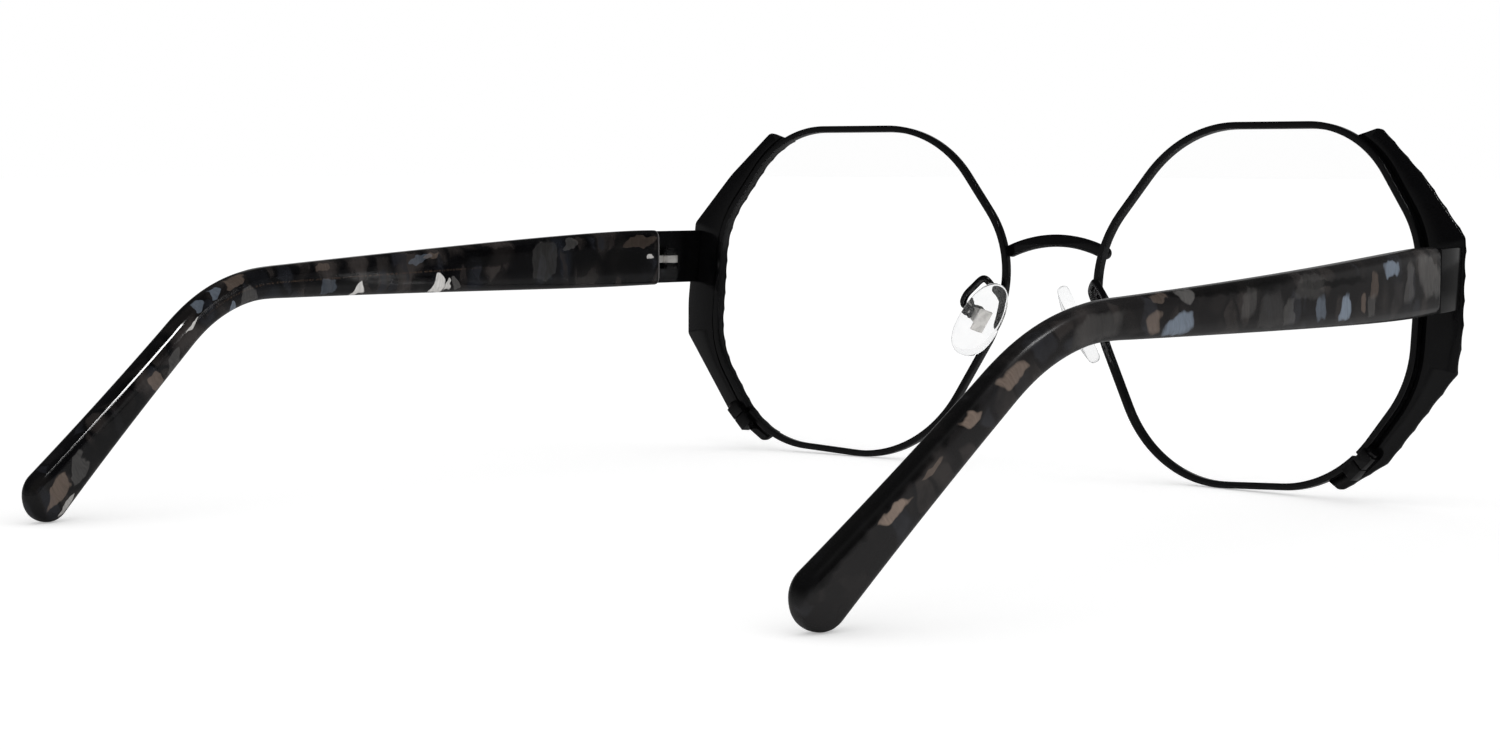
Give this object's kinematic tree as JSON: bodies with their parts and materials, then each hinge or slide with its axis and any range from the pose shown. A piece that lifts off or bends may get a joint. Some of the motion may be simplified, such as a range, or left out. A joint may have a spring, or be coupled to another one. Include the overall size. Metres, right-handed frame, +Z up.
{
  "type": "geometric eyeglasses",
  "caption": "Wire-rimmed octagonal eyeglasses with an arched bridge, fluted black trim plates on the outer sides, clear nose pads and folding marbled acetate temples.",
  "frame": {"origin": "On the floor that the rims and the temple tips stand on, at the centre of the bounding box, on the mirror plane between the lenses", "axes": "+X to the wearer's left, -Y the way the wearer looks, so the temples run back to +Y, +Z up"},
  "size_m": [0.1502, 0.1436, 0.053],
  "materials": {
    "black_metal": "gloss black lacquer",
    "steel": "plain",
    "acetate": "polished, black and grey marbled with brown and pearl flecks",
    "lens": "clear, polished",
    "silicone": "clear, satin"
  },
  "bodies": {
    "front": {"bridge": "black_metal", "left_eyewire": "black_metal", "left_lens": "lens", "left_trim_plate": "black_metal", "left_endpiece": "black_metal", "left_lock_upper": "black_metal", "left_lock_lower": "black_metal", "left_lock_screw": "black_metal", "left_hinge_front": "black_metal", "left_hinge_screw": "steel", "left_pad_arm": "black_metal", "left_pad_box": "black_metal", "left_pad_screw": "steel", "right_eyewire": "black_metal", "right_lens": "lens", "right_trim_plate": "black_metal", "right_endpiece": "black_metal", "right_lock_upper": "black_metal", "right_lock_lower": "black_metal", "right_lock_screw": "black_metal", "right_hinge_front": "black_metal", "right_hinge_screw": "steel", "right_pad_arm": "black_metal", "right_pad_box": "black_metal", "right_pad_screw": "steel"},
    "left_temple_arm": {"left_temple": "acetate", "left_core_wire": "steel", "left_hinge_rear": "steel"},
    "left_pad": {"left_nose_pad": "silicone", "left_pad_insert": "steel"},
    "right_temple_arm": {"right_temple": "acetate", "right_core_wire": "steel", "right_hinge_rear": "steel"},
    "right_pad": {"right_nose_pad": "silicone", "right_pad_insert": "steel"}
  },
  "joints": [
    {"name": "left_temple_fold", "type": "hinge", "parent": "front", "child": "left_temple_arm", "pos_m": [0.06818, -0.05767, 0.03112], "axis": [0, 0, 1], "range_deg": [0, 87]},
    {"name": "left_pad_rock", "type": "hinge", "parent": "front", "child": "left_pad", "pos_m": [0.01063, -0.06441, 0.02391], "axis": [0.4206, 0.8527, 0.31], "range_deg": [-8, 8]},
    {"name": "right_temple_fold", "type": "hinge", "parent": "front", "child": "right_temple_arm", "pos_m": [-0.06818, -0.05767, 0.03112], "axis": [0, 0, -1], "range_deg": [0, 80]},
    {"name": "right_pad_rock", "type": "hinge", "parent": "front", "child": "right_pad", "pos_m": [-0.01063, -0.06441, 0.02391], "axis": [-0.4206, 0.8527, 0.31], "range_deg": [-8, 8]}
  ]
}
